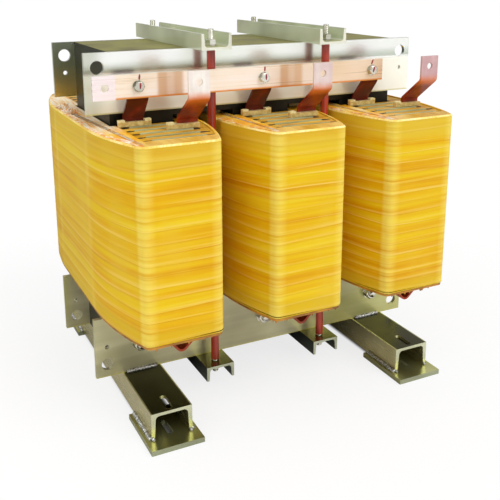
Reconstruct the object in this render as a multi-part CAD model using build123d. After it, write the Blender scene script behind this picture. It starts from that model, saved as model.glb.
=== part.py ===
from build123d import *
import os

os.makedirs("parts", exist_ok=True)

# Millimetres, +Z up, floor at z = 0, core centred on the Z axis, coils in a row along X,
# low-voltage side towards -Y.

# ---- driving dimensions: core ----
coil_pitch = 250.0
limb_width = 124.0
stack_depth = 236.0
yoke_height = 124.0
joint_gap = 0.3

# ---- clamp plates ----
clamp_half_length = 365.0
upper_clamp_shortfall = 8.0
clamp_thickness = 8.0
upper_clamp_height = 112.0
lower_clamp_height = 124.0
lifting_hole_radius = 12.5
lifting_hole_inset = 27.0
earth_hole_radius = 4.5
earth_hole_inset = 63.0
clamp_hole_end_margin = 24.0

# ---- tie channels and rods ----
tie_width = 60.0
tie_height = 30.0
tie_web = 5.0
tie_leg_root = 7.0
tie_leg_tip = 5.0
tie_root_fillet = 6.0
tie_length = 370.0
rod_radius = 6.0
rod_spacing_y = 316.0
rod_end_above = 32.0
rod_end_below = 20.0
rod_clearance = 1.0
sleeve_radius = 8.0
sleeve_wall = 1.8
sleeve_shortfall = 3.0

# ---- feet ----
base_plate_width = 102.0
base_plate_length = 132.0
base_plate_thickness = 10.0
base_plate_overhang = 32.0
foot_width = 80.0
foot_height = 52.0
foot_web = 6.0
foot_leg_root = 9.0
foot_leg_tip = 6.0
foot_root_fillet = 8.0
foot_length = 584.0
foot_inset = 93.0
foot_slot_width = 12.0
foot_slot_length = 46.0
foot_slot_inset = 30.0
weld_leg = 6.0
weld_end_margin = 8.0

# ---- fasteners ----
m12_nut_flats = 19.0
m12_nut_height = 10.0
m12_washer_radius = 12.0
m12_washer_thickness = 2.5
stud_radius = 8.0
stud_end = 6.0
m16_nut_flats = 24.0
m16_nut_height = 13.0
m16_washer_radius = 15.0
m16_washer_thickness = 3.0
lower_stud_height = 60.0
upper_stud_depth = 58.0
lower_stud_offset = 275.0
upper_stud_offset = 225.0
stud_clearance = 1.0

# ---- coils ----
coil_half_width = 110.0
coil_half_depth = 320.0
coil_face_half_width = 71.0
coil_straight_half = 120.0
coil_corner_radius = 14.0
coil_height = 355.0
coil_bottom_gap = 21.0
coil_top_gap = 10.0
wrap_thickness = 5.0
wrap_rim = 2.0
wrap_rim_radius = 4.0
limb_side_clearance = 3.0
limb_duct = 10.0
inner_half_width = 88.0
inner_half_depth = 226.0
inner_face_half_width = 81.0
inner_corner_radius = 10.0
winding_gap = 0.5
duct_thickness = 8.0
duct_left_end = -50.0
duct_side_wall = 6.0
duct_pitch = 30.5
first_duct = 150.5
ducts_per_side = 5
board_thickness = 5.0
board_length = 100.0
board_end_gap = 14.0
shoulder_width = 7.0
window_margin = 4.0
end_ring_thickness = 4.0
end_ring_inset = 2.0

# ---- copper ----
copper_thickness = 5.0
neutral_bar_height = 43.0
neutral_bar_rise = 76.5
neutral_bar_front = 174.0
neutral_bar_left_overrun = 83.0
neutral_bar_right_overrun = 27.0
neutral_hole_radius = 7.0
neutral_hole_inset = 22.0
riser_width = 40.0
riser_thickness = 4.0
riser_offset = -23.0
riser_foot = 136.0
riser_top_drop = 2.0
riser_bend_drop = 2.0
lead_depth_in_coil = 30.0
lead_bend_rise = 16.0
bend_radius = 10.0
terminal_width = 40.0
terminal_offset = 60.0
terminal_foot = 195.0
terminal_face = 255.0
terminal_bend_rise = 60.0
terminal_rise = 108.0
terminal_hole_radius = 6.5
terminal_hole_drop = 20.0
bar_bolt_radius = 5.0
bar_bolt_head = 7.0
bar_bolt_flats = 17.0
bar_bolt_tail = 2.0
bar_washer_radius = 11.0
bar_washer_thickness = 2.0
jumper_width = 30.0
jumper_thickness = 4.0
jumper_middle = 270.0
jumper_tip_offset = 4.0
jumper_drop = 36.0
jumper_left_run = 32.0
jumper_right_run = 38.0

# ---- insulation blocks ----
saddle_length = 62.0
saddle_depth = 10.0
saddle_height = 8.0
saddle_lug_height = 12.0
saddle_lug_length = 12.0
terminal_saddle_shift = 11.0
support_width = 44.0
support_length = 60.0
support_offset = 42.0
wedge_width = 26.0
wedge_length = 50.0
wedge_spread = 70.0

# ---- levels and planes that follow ----
foot_top = base_plate_thickness + foot_height
lower_yoke_top = foot_top + yoke_height
upper_yoke_bottom = lower_yoke_top + coil_bottom_gap + coil_height + coil_top_gap
core_top = upper_yoke_bottom + yoke_height
core_half_depth = stack_depth / 2
clamp_face = core_half_depth + clamp_thickness
coil_bottom = lower_yoke_top + coil_bottom_gap
coil_top = coil_bottom + coil_height
neutral_bar_middle = coil_top + neutral_bar_rise
terminal_bend_height = coil_top + terminal_bend_rise
terminal_top = coil_top + terminal_rise
winding_bottom = coil_bottom + wrap_rim
winding_top = coil_top - wrap_rim
rod_y = rod_spacing_y / 2
rod_xs = (-coil_pitch / 2, coil_pitch / 2)
neutral_bar_back = neutral_bar_front - copper_thickness
coils = {"left": -coil_pitch, "middle": 0.0, "right": coil_pitch}
foot_xs = {"left": foot_inset - clamp_half_length, "right": clamp_half_length - foot_inset}


def block(x_range, y_range, z_range):
    """A rectangular block between three pairs of limits."""
    centre = [(low + high) / 2 for low, high in (x_range, y_range, z_range)]
    size = [high - low for low, high in (x_range, y_range, z_range)]
    return Pos(*centre) * Box(*size)


def pin_z(x, y, radius, bottom, top):
    """An upright round pin."""
    return Pos(x, y, (bottom + top) / 2) * Cylinder(radius, top - bottom)


def pin_y(x, z, radius, near, far):
    """A round pin lying along Y."""
    return Pos(x, (near + far) / 2, z) * Rot(90, 0, 0) * Cylinder(radius, far - near)


def hexagon_z(x, y, flats, hole_radius, bottom, top):
    """A hexagon nut with its bore, standing upright."""
    face = RegularPolygon(flats / 2, 6, major_radius=False)
    if hole_radius:
        face -= Circle(hole_radius)
    return Pos(x, y, bottom) * extrude(face, top - bottom)


def ring_z(x, y, radius, hole_radius, bottom, top):
    """A flat washer or a sleeve, standing upright."""
    return Pos(x, y, bottom) * extrude(Circle(radius) - Circle(hole_radius), top - bottom)


def along_y(shape, x, y, z):
    """Lays an upright piece made on the origin so that its +Z points along +Y."""
    return Pos(x, y, z) * Rot(-90, 0, 0) * shape


def write(name, pieces):
    """Writes one named sub-part from a piece or a list of separate pieces."""
    solids = []
    for piece in pieces if isinstance(pieces, list) else [pieces]:
        solids.extend(piece.solids())
    shape = solids[0] if len(solids) == 1 else Compound(children=solids)
    shape.label = name
    export_step(shape, f"parts/{name}.step")


# ---- core ----
def limb(x):
    """One leg of the laminated core, between the yokes."""
    return block(
        (x - limb_width / 2, x + limb_width / 2),
        (-core_half_depth, core_half_depth),
        (lower_yoke_top, upper_yoke_bottom),
    )


def stud_places(level):
    """X and Z of the studs that clamp a yoke."""
    if level == "lower":
        return [(x, foot_top + lower_stud_height) for x in (-lower_stud_offset, 0.0, lower_stud_offset)]
    return [(x, core_top - upper_stud_depth) for x in (-upper_stud_offset, 0.0, upper_stud_offset)]


def yoke(level):
    """A yoke across the three limbs, drilled for its studs."""
    bottom = foot_top if level == "lower" else upper_yoke_bottom
    half_length = coil_pitch + limb_width / 2
    top = bottom + yoke_height
    body = block((-half_length, half_length), (-core_half_depth, core_half_depth), (bottom, top))
    for x, z in stud_places(level):
        body -= pin_y(x, z, stud_radius + stud_clearance, -core_half_depth, core_half_depth)
    return body


def clamp(level, side):
    """A clamp plate along one side of a yoke, with lifting, earthing and stud holes."""
    near, far = sorted((side * core_half_depth, side * clamp_face))
    if level == "lower":
        bottom, top = foot_top, foot_top + lower_clamp_height
        outer, inward = bottom, 1
        half = clamp_half_length
    else:
        bottom, top = core_top - upper_clamp_height, core_top
        outer, inward = top, -1
        half = clamp_half_length - upper_clamp_shortfall
    plate = block((-half, half), (near, far), (bottom, top))
    for end in (-1, 1):
        x = end * (half - clamp_hole_end_margin)
        plate -= pin_y(x, outer + inward * lifting_hole_inset, lifting_hole_radius, near, far)
        plate -= pin_y(x, outer + inward * earth_hole_inset, earth_hole_radius, near, far)
    for x, z in stud_places(level):
        plate -= pin_y(x, z, stud_radius + stud_clearance, near, far)
    return plate


def channel(width, height, web, leg_root, leg_tip, root_fillet, length):
    """A hot-rolled channel along Y, web down on z = 0, legs tapering up to their toes."""
    half = width / 2
    outline = Polyline(
        (-half, 0),
        (half, 0),
        (half, height),
        (half - leg_tip, height),
        (half - leg_root, web),
        (leg_root - half, web),
        (leg_tip - half, height),
        (-half, height),
        close=True,
    )
    section = make_face(outline)
    roots = section.vertices().filter_by(lambda v: 0 < v.Y < height)
    section = fillet(roots, root_fillet)
    return extrude(Plane.XZ * section, length / 2, both=True)


def tie_channel(level, x):
    """A tie channel across both clamps: legs up on top of the core, legs down under it."""
    body = channel(tie_width, tie_height, tie_web, tie_leg_root, tie_leg_tip, tie_root_fillet, tie_length)
    for y in (-rod_y, rod_y):
        body -= pin_z(0, y, rod_radius + rod_clearance, 0, tie_web)
    if level == "upper":
        return Pos(x, 0, core_top) * body
    return Pos(x, 0, foot_top) * Rot(0, 180, 0) * body


def rods_and_fittings():
    """Tie rods with their sleeves, nuts and washers above and below."""
    rods, sleeves, nuts, washers = [], [], [], []
    top_face = core_top + tie_web
    bottom_face = foot_top - tie_web
    for x in rod_xs:
        for y in (-rod_y, rod_y):
            stack = m12_washer_thickness + m12_nut_height
            rods.append(pin_z(x, y, rod_radius, bottom_face - rod_end_below, top_face + rod_end_above))
            bore = sleeve_radius - sleeve_wall
            sleeves.append(ring_z(x, y, sleeve_radius, bore, foot_top + sleeve_shortfall, core_top))
            washers.append(
                ring_z(x, y, m12_washer_radius, rod_radius, top_face, top_face + m12_washer_thickness)
            )
            nuts.append(
                hexagon_z(x, y, m12_nut_flats, rod_radius, top_face + m12_washer_thickness, top_face + stack)
            )
            washers.append(
                ring_z(x, y, m12_washer_radius, rod_radius, bottom_face - m12_washer_thickness, bottom_face)
            )
            nuts.append(
                hexagon_z(
                    x, y, m12_nut_flats, rod_radius, bottom_face - stack, bottom_face - m12_washer_thickness
                )
            )
    return rods, sleeves, nuts, washers


def yoke_fasteners():
    """Studs through clamps and yokes, with a washer and a nut at each end."""
    studs, nuts, washers = [], [], []
    washer = ring_z(0, 0, m16_washer_radius, stud_radius, 0, m16_washer_thickness)
    nut = hexagon_z(0, 0, m16_nut_flats, stud_radius, 0, m16_nut_height)
    reach = clamp_face + m16_washer_thickness + m16_nut_height + stud_end
    for level in ("lower", "upper"):
        for x, z in stud_places(level):
            studs.append(pin_y(x, z, stud_radius, -reach, reach))
            washers.append(along_y(washer, x, clamp_face, z))
            washers.append(along_y(washer, x, -clamp_face - m16_washer_thickness, z))
            nuts.append(along_y(nut, x, clamp_face + m16_washer_thickness, z))
            nuts.append(along_y(nut, x, -clamp_face - m16_washer_thickness - m16_nut_height, z))
    return studs, nuts, washers


# ---- feet ----
def slot_cutter(x, y, bottom, top):
    """An upright slot that runs along Y."""
    face = Rot(0, 0, 90) * SlotOverall(foot_slot_length, foot_slot_width)
    return Pos(x, y, bottom) * extrude(face, top - bottom)


def foot_channel(x):
    """A foot channel, legs down on the base plates, slotted near both ends."""
    body = channel(
        foot_width, foot_height, foot_web, foot_leg_root, foot_leg_tip, foot_root_fillet, foot_length
    )
    for side in (-1, 1):
        y = side * (foot_length / 2 - foot_slot_inset)
        body -= slot_cutter(0, y, 0, foot_web)
    return Pos(x, 0, foot_top) * Rot(0, 180, 0) * body


def base_plate(x, side):
    """A base plate under one end of a foot channel, slotted under the channel's slot."""
    outer = side * (foot_length / 2 + base_plate_overhang)
    inner = outer - side * base_plate_length
    near, far = sorted((outer, inner))
    half = base_plate_width / 2
    plate = block((x - half, x + half), (near, far), (0, base_plate_thickness))
    return plate - slot_cutter(x, side * (foot_length / 2 - foot_slot_inset), 0, base_plate_thickness)


def fillet_bead(length):
    """A weld fillet along X: its two legs lie on y = 0 and z = 0, in the +Y, +Z corner."""
    section = make_face(Polyline((0, 0), (weld_leg, 0), (0, weld_leg), close=True))
    return Pos(-length / 2, 0, 0) * extrude(Plane.YZ * section, length)


def weld_beads():
    """Fillet welds of the foot channels to the base plates and to the lower clamps."""
    beads = []
    seat = base_plate_length - base_plate_overhang
    for x in foot_xs.values():
        for side in (-1, 1):
            y = side * (foot_length / 2 - seat / 2)
            for flank in (-1, 1):
                turn = 90 if flank < 0 else -90
                edge = x + flank * foot_width / 2
                beads.append(Pos(edge, y, base_plate_thickness) * Rot(0, 0, turn) * fillet_bead(seat))
            turn = 180 if side < 0 else 0
            spot = Pos(x, side * clamp_face, foot_top) * Rot(0, 0, turn)
            beads.append(spot * fillet_bead(foot_width - 2 * weld_end_margin))
            for flank in (-1, 1):
                toe = x + flank * (foot_width - foot_leg_tip) / 2
                spot = Pos(toe, side * foot_length / 2, base_plate_thickness) * Rot(0, 0, turn)
                beads.append(spot * fillet_bead(foot_leg_tip))
    return beads


# ---- coils ----
def barrel_outline(half_width, half_depth, face_half_width, straight_half, corner_radius):
    """Plan of a coil: straight flanks, drawn in by arcs to flat end faces with rounded corners."""
    edges = []
    for side in (-1, 1):
        edges.append(Line((side * half_width, -straight_half), (side * half_width, straight_half)))
        edges.append(Line((-face_half_width, side * half_depth), (face_half_width, side * half_depth)))
        for end in (-1, 1):
            start = (side * half_width, end * straight_half)
            finish = (side * face_half_width, end * half_depth)
            edges.append(TangentArc(start, finish, tangent=(0, end)))
    face = make_face(edges)
    corners = face.vertices().filter_by(lambda v: abs(v.Y) > (straight_half + half_depth) / 2)
    return fillet(corners, corner_radius)


coil_plan = barrel_outline(
    coil_half_width, coil_half_depth, coil_face_half_width, coil_straight_half, coil_corner_radius
)
winding_plan = offset(coil_plan, -wrap_thickness)
inner_plan = barrel_outline(
    inner_half_width, inner_half_depth, inner_face_half_width, coil_straight_half, inner_corner_radius
)
limb_opening = Rectangle(limb_width + 2 * limb_side_clearance, stack_depth + 2 * limb_duct)
duct_ys = [first_duct + i * duct_pitch for i in range(ducts_per_side)]
inner_ducts = [y for y in duct_ys if y < inner_half_depth]
outer_ducts = [y for y in duct_ys if y > inner_half_depth]
stack_half_depth = duct_ys[-1] + duct_thickness / 2


def from_left_end(left, half_depth, y=0.0):
    """A rectangle from a left end to beyond the coil's right flank."""
    return Pos((left + coil_half_width) / 2, y) * Rectangle(coil_half_width - left, 2 * half_depth)


end_window = from_left_end(duct_left_end - window_margin, stack_half_depth + window_margin)
end_opening = (end_window & offset(coil_plan, -shoulder_width)) + limb_opening


def ducts(places, plan):
    """Cooling ducts through a winding, front and back, that stop short of its right flank."""
    slots = [from_left_end(duct_left_end, duct_thickness / 2, side * y) for y in places for side in (-1, 1)]
    return (Sketch() + slots) & offset(plan, -duct_side_wall)


def lead_pocket(offset_x, foot, width, thickness):
    """The seat of a lead's foot in the top of the inner winding."""
    half = width / 2
    y_range = (-foot - thickness / 2, -foot + thickness / 2)
    return block((offset_x - half, offset_x + half), y_range, (winding_top - lead_depth_in_coil, winding_top))


def inner_winding(x):
    """The low-voltage winding round the limb, with the seats of its three leads."""
    plan = inner_plan - limb_opening - ducts(inner_ducts, inner_plan)
    body = Pos(0, 0, winding_bottom) * extrude(plan, winding_top - winding_bottom)
    body -= lead_pocket(riser_offset, riser_foot, riser_width, riser_thickness)
    pocket = lead_pocket(terminal_offset, terminal_foot, terminal_width, copper_thickness)
    body -= pocket
    body -= mirror(pocket, about=Plane.XZ)
    return Pos(x, 0, 0) * body


def outer_winding(x):
    """The high-voltage winding round the low-voltage one."""
    plan = winding_plan - offset(inner_plan, winding_gap) - ducts(outer_ducts, winding_plan)
    return Pos(x, 0, winding_bottom) * extrude(plan, winding_top - winding_bottom)


def duct_boards(x):
    """Spacer boards that hold the ducts open, one in each duct, short of both its ends."""
    boards = []
    left = x + duct_left_end + board_end_gap
    for y in duct_ys:
        for side in (-1, 1):
            outer = side * (y + duct_thickness / 2)
            y_range = sorted((outer, outer - side * board_thickness))
            boards.append(block((left, left + board_length), y_range, (winding_bottom, coil_top)))
    return boards


def coil_wrap(x):
    """The resin-taped skin of a coil, turned in over the shoulders, open over the ducts and the limb."""
    skin = extrude(coil_plan, coil_height)
    rims = skin.edges().filter_by(Plane.XY)
    skin = fillet(rims, wrap_rim_radius)
    skin -= Pos(0, 0, wrap_rim) * extrude(winding_plan, coil_height - 2 * wrap_rim)
    skin -= extrude(end_opening, coil_height)
    return Pos(x, 0, coil_bottom) * skin


def end_ring(x):
    """The insulating board ring under a coil."""
    plan = offset(coil_plan, -end_ring_inset) - end_opening
    return Pos(x, 0, coil_bottom - end_ring_thickness) * extrude(plan, end_ring_thickness)


# ---- copper leads ----
def strap(path, width, thickness):
    """A bent flat strap: a rising line in the Y-Z plane thickened on both sides, across X."""
    centre = FilletPolyline(*path, radius=bend_radius)
    section = make_face(offset(centre, thickness / 2, kind=Kind.INTERSECTION, side=Side.BOTH))
    foot, tip = path[0][1], path[-1][1]
    section &= Pos(0, (foot + tip) / 2) * Rectangle(4 * coil_half_depth, tip - foot)
    return extrude(Plane.YZ * section, width / 2, both=True)


def neutral_riser(x):
    """A neutral lead from the inner winding up to the back of the neutral bar."""
    back = neutral_bar_back - riser_thickness / 2
    bottom = neutral_bar_middle - neutral_bar_height / 2
    path = [
        (-riser_foot, winding_top - lead_depth_in_coil),
        (-riser_foot, coil_top + lead_bend_rise),
        (-back, bottom - riser_bend_drop),
        (-back, bottom + neutral_bar_height - riser_top_drop),
    ]
    lead = Pos(x + riser_offset, 0, 0) * strap(path, riser_width, riser_thickness)
    return lead - pin_y(x + riser_offset, neutral_bar_middle, bar_bolt_radius, -neutral_bar_front, 0)


def terminal(x, side):
    """A phase terminal: a strap bent out from the coil and up to a drilled pad."""
    face = terminal_face - copper_thickness / 2
    path = [
        (-terminal_foot, winding_top - lead_depth_in_coil),
        (-terminal_foot, coil_top + lead_bend_rise),
        (-face, terminal_bend_height),
        (-face, terminal_top),
    ]
    body = Pos(terminal_offset, 0, 0) * strap(path, terminal_width, copper_thickness)
    height = terminal_top - terminal_hole_drop
    back = -terminal_face + copper_thickness
    body -= pin_y(terminal_offset, height, terminal_hole_radius, -terminal_face, back)
    if side > 0:
        body = mirror(body, about=Plane.XZ)
    return Pos(x, 0, 0) * body


def neutral_bar():
    """The neutral bar across the three risers, with its connection hole at the left end."""
    left = -coil_pitch + riser_offset - neutral_bar_left_overrun
    right = coil_pitch + riser_offset + neutral_bar_right_overrun
    half = neutral_bar_height / 2
    z_range = (neutral_bar_middle - half, neutral_bar_middle + half)
    bar = block((left, right), (-neutral_bar_front, -neutral_bar_back), z_range)
    hole_x = left + neutral_hole_inset
    bar -= pin_y(hole_x, neutral_bar_middle, neutral_hole_radius, -neutral_bar_front, -neutral_bar_back)
    for x in coils.values():
        bar -= pin_y(x + riser_offset, neutral_bar_middle, bar_bolt_radius, -neutral_bar_front, 0)
    return bar


def bar_fasteners():
    """Hexagon bolts, washers and nuts that join the neutral bar to its risers."""
    bolts, nuts, washers = [], [], []
    front = -neutral_bar_front
    back = -neutral_bar_back + riser_thickness
    washer = ring_z(0, 0, bar_washer_radius, bar_bolt_radius, 0, bar_washer_thickness)
    nut = hexagon_z(0, 0, bar_bolt_flats, bar_bolt_radius, 0, bar_bolt_head)
    head = hexagon_z(0, 0, bar_bolt_flats, 0, 0, bar_bolt_head)
    tail = back + bar_washer_thickness + bar_bolt_head + bar_bolt_tail
    for x in coils.values():
        middle = x + riser_offset
        washers.append(along_y(washer, middle, front - bar_washer_thickness, neutral_bar_middle))
        washers.append(along_y(washer, middle, back, neutral_bar_middle))
        nuts.append(along_y(nut, middle, back + bar_washer_thickness, neutral_bar_middle))
        head_face = front - bar_washer_thickness - bar_bolt_head
        bolt = along_y(head, middle, head_face, neutral_bar_middle)
        bolt += pin_y(middle, neutral_bar_middle, bar_bolt_radius, head_face + bar_bolt_head, tail)
        bolts.append(bolt)
    return bolts, nuts, washers


def jumper(x):
    """A folded strap that joins two winding ends under the coil."""
    top = coil_bottom - end_ring_thickness
    tip = x + jumper_tip_offset
    path = [(tip - jumper_left_run, top), (tip, top - jumper_drop), (tip + jumper_right_run, top)]
    centre = FilletPolyline(*path, radius=bend_radius)
    section = make_face(offset(centre, jumper_thickness / 2, kind=Kind.INTERSECTION, side=Side.BOTH))
    section &= Pos(x, top - coil_half_width) * Rectangle(2 * coil_half_width, 2 * coil_half_width)
    return Pos(0, -jumper_middle, 0) * extrude(Plane.XZ * section, jumper_width / 2, both=True)


# ---- insulation blocks ----
def saddle(x, foot, thickness, lugs):
    """An insulating saddle in front of a lead's foot, with a raised lug at each end that lugs names."""
    face = foot + thickness / 2
    y_range = (-face - saddle_depth, -face)
    half = saddle_length / 2
    body = block((x - half, x + half), y_range, (coil_top, coil_top + saddle_height))
    for end in lugs:
        x_range = sorted((x + end * half, x + end * (half - saddle_lug_length)))
        body += block(x_range, y_range, (coil_top, coil_top + saddle_lug_height))
    return body


def saddles():
    """The saddles at the feet of the neutral risers and of the phase terminals, front and back."""
    pieces = []
    for x in coils.values():
        pieces.append(saddle(x + riser_offset, riser_foot, riser_thickness, (-1, 1)))
        front = saddle(terminal_offset - terminal_saddle_shift, terminal_foot, copper_thickness, (-1,))
        pieces.append(Pos(x, 0, 0) * front)
        pieces.append(Pos(x, 0, 0) * mirror(front, about=Plane.XZ))
    return pieces


def support_blocks():
    """Blocks under the coils, seated on the lower clamps, and wedges between coils and upper yoke."""
    pieces = []
    top = coil_bottom - end_ring_thickness
    for x in coils.values():
        for side in (-1, 1):
            for end in (-1, 1):
                middle = x + side * support_offset
                x_range = (middle - support_width / 2, middle + support_width / 2)
                y_range = sorted((end * core_half_depth, end * (core_half_depth + support_length)))
                pieces.append(block(x_range, y_range, (lower_yoke_top, top)))
    flank = coil_half_width - wrap_thickness - wedge_width
    for gap in rod_xs:
        for side in (-1, 1):
            for y in (-wedge_spread, wedge_spread):
                middle = gap + side * (coil_pitch / 2 - flank - wedge_width / 2)
                x_range = (middle - wedge_width / 2, middle + wedge_width / 2)
                y_range = (y - wedge_length / 2, y + wedge_length / 2)
                pieces.append(block(x_range, y_range, (coil_top, upper_yoke_bottom)))
    return pieces


# ---- all sub-parts ----
write("lower_yoke", yoke("lower"))
write("upper_yoke", yoke("upper"))
for side, name in ((-1, "front"), (1, "rear")):
    write(f"lower_clamp_{name}", clamp("lower", side))
    write(f"upper_clamp_{name}", clamp("upper", side))
for name, x in zip(("left", "right"), rod_xs):
    write(f"upper_tie_channel_{name}", tie_channel("upper", x))
    write(f"lower_tie_channel_{name}", tie_channel("lower", x))
tie_rods, rod_sleeves, m12_nuts, m12_washers = rods_and_fittings()
write("tie_rods", tie_rods)
write("rod_sleeves", rod_sleeves)
write("m12_nuts", m12_nuts)
write("m12_washers", m12_washers)
yoke_studs, m16_nuts, m16_washers = yoke_fasteners()
write("yoke_studs", yoke_studs)
write("m16_nuts", m16_nuts)
write("m16_washers", m16_washers)
for name, x in foot_xs.items():
    write(f"foot_channel_{name}", foot_channel(x))
    write(f"base_plate_front_{name}", base_plate(x, -1))
    write(f"base_plate_rear_{name}", base_plate(x, 1))
write("weld_beads", weld_beads())
for name, x in coils.items():
    write(f"limb_{name}", limb(x))
    write(f"inner_winding_{name}", inner_winding(x))
    write(f"outer_winding_{name}", outer_winding(x))
    write(f"duct_boards_{name}", duct_boards(x))
    write(f"coil_wrap_{name}", coil_wrap(x))
    write(f"end_ring_{name}", end_ring(x))
    write(f"neutral_riser_{name}", neutral_riser(x))
    write(f"phase_terminal_{name}", terminal(x, -1))
    write(f"rear_terminal_{name}", terminal(x, 1))
    write(f"jumper_{name}", jumper(x))
write("neutral_bar", neutral_bar())
bar_bolts, bar_nuts, bar_washers = bar_fasteners()
write("bar_bolts", bar_bolts)
write("bar_nuts", bar_nuts)
write("bar_washers", bar_washers)
write("lead_saddles", saddles())
write("support_blocks", support_blocks())
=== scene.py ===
import math
import random

import bpy
from mathutils import Matrix, Vector

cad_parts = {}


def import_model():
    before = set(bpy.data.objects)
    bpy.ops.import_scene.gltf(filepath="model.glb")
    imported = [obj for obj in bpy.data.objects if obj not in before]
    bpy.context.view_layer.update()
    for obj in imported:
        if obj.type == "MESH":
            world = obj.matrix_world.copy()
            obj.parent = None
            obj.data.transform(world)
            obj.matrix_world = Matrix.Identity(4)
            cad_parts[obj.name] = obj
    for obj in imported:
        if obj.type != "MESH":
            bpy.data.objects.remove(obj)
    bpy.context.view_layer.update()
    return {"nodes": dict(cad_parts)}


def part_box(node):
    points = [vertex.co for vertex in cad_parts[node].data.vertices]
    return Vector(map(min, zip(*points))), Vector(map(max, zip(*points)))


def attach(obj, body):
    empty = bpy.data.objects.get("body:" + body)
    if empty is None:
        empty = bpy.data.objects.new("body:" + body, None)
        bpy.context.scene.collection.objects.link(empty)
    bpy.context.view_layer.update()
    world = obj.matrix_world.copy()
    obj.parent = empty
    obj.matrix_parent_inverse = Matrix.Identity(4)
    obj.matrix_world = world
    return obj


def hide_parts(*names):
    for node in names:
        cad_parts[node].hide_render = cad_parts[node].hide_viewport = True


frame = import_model()
nodes = frame["nodes"]
COILS = ("left", "middle", "right")
MM = 0.001
COIL_PITCH = 250 * MM

# The plan of a coil from its middle: where the front corners turn, and where a flank stops being flat.
CORNER_X = 74 * MM
CORNER_Y = 313 * MM
FLAT_Y = 120 * MM


# ---- node materials -------------------------------------------------------------------
def linear(colour):
    """The values a shader takes, from red, green and blue as they look on a screen, 0 to 1."""
    return tuple(c / 12.92 if c <= 0.04045 else ((c + 0.055) / 1.055) ** 2.4 for c in colour) + (1.0,)


class Net:
    """Shader nodes added to one tree and joined up; each method gives the socket of its result."""

    def __init__(self, tree):
        self.tree = tree
        self.place = self.node("TexCoord")

    def node(self, kind):
        return self.tree.nodes.new("ShaderNode" + kind)

    def put(self, socket, value):
        """Feeds a socket from another one, or sets it to a number or to a screen colour."""
        if isinstance(value, bpy.types.NodeSocket):
            self.tree.links.new(value, socket)
        else:
            socket.default_value = linear(value) if isinstance(value, tuple) else value

    def math(self, operation, a, b=0.0):
        step = self.node("Math")
        step.operation = operation
        self.put(step.inputs[0], a)
        self.put(step.inputs[1], b)
        return step.outputs[0]

    def times(self, first, *others):
        for other in others:
            first = self.math("MULTIPLY", first, other)
        return first

    def plus(self, a, b):
        return self.math("ADD", a, b)

    def minus(self, a, b):
        return self.math("SUBTRACT", a, b)

    def size(self, value):
        return self.math("ABSOLUTE", value)

    def span(self, value, low, high):
        """0 below low, 1 above high and smooth between; low may be the larger of the two."""
        step = self.node("MapRange")
        step.interpolation_type = "SMOOTHSTEP"
        self.put(step.inputs["Value"], value)
        if low < high:
            step.inputs["From Min"].default_value = low
            step.inputs["From Max"].default_value = high
            return step.outputs[0]
        step.inputs["From Min"].default_value = high
        step.inputs["From Max"].default_value = low
        return self.minus(1.0, step.outputs[0])

    def axes(self, vector=None):
        split = self.node("SeparateXYZ")
        self.put(split.inputs[0], vector if vector else self.place.outputs["Object"])
        return split.outputs

    def facing(self):
        """The x, y and z parts of the surface normal."""
        geometry = self.node("NewGeometry")
        return self.axes(geometry.outputs["Normal"])

    def join(self, x, y, z):
        made = self.node("CombineXYZ")
        for socket, value in zip(made.inputs, (x, y, z)):
            self.put(socket, value)
        return made.outputs[0]

    def noise(self, scale, detail=3.0, roughness=0.55, vector=None):
        """Noise stretched by scale, waves per metre along each axis."""
        fit = self.node("Mapping")
        fit.inputs["Scale"].default_value = scale
        self.put(fit.inputs["Vector"], vector if vector else self.place.outputs["Object"])
        field = self.node("TexNoise")
        field.inputs["Scale"].default_value = 1.0
        field.inputs["Detail"].default_value = detail
        field.inputs["Roughness"].default_value = roughness
        self.put(field.inputs["Vector"], fit.outputs[0])
        return field.outputs[0]

    def chance(self, value):
        """One fixed random number for each value."""
        field = self.node("TexWhiteNoise")
        field.noise_dimensions = "1D"
        self.put(field.inputs["W"], value)
        return field.outputs["Value"]

    def ramp(self, value, *stops):
        band = self.node("ValToRGB")
        points = band.color_ramp.elements
        while len(points) < len(stops):
            points.new(0.5)
        for point, (position, colour) in zip(points, stops):
            point.position = position
            point.color = linear(colour)
        self.put(band.inputs[0], value)
        return band.outputs[0]

    def mix(self, amount, a, b, blend="MIX"):
        step = self.node("Mix")
        step.data_type = "RGBA"
        step.blend_type = blend
        self.put(step.inputs[0], amount)
        self.put(step.inputs[6], a)
        self.put(step.inputs[7], b)
        return step.outputs[2]

    def over(self, under, colour, *masks):
        """A colour laid over another as far as the product of the masks says."""
        return self.mix(self.times(*masks), under, colour)


class Look(Net):
    """A node material built round one Principled shader."""

    def __init__(self, name, roughness=0.5, metallic=0.0, coat=0.0, specular=0.5):
        self.material = bpy.data.materials.new(name)
        self.material.use_nodes = True
        super().__init__(self.material.node_tree)
        self.shader = self.tree.nodes["Principled BSDF"]
        self.shader.inputs["Roughness"].default_value = roughness
        self.shader.inputs["Metallic"].default_value = metallic
        self.shader.inputs["Specular IOR Level"].default_value = specular
        self.shader.inputs["Coat Weight"].default_value = coat
        self.shader.inputs["Coat Roughness"].default_value = 0.12

    def finish(self, colour, roughness, *bump):
        """The material, with its colour, roughness and bump fed."""
        self.colour(colour)
        self.roughness(*roughness)
        self.bump(*bump)
        return self.material

    def colour(self, value):
        self.put(self.shader.inputs["Base Color"], value)

    def roughness(self, value, low, high):
        step = self.node("MapRange")
        self.put(step.inputs["Value"], value)
        step.inputs["To Min"].default_value = low
        step.inputs["To Max"].default_value = high
        self.put(self.shader.inputs["Roughness"], step.outputs[0])

    def bump(self, height, depth, strength=1.0):
        step = self.node("Bump")
        step.inputs["Strength"].default_value = strength
        step.inputs["Distance"].default_value = depth
        self.put(step.inputs["Height"], height)
        self.put(self.shader.inputs["Normal"], step.outputs[0])


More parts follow.
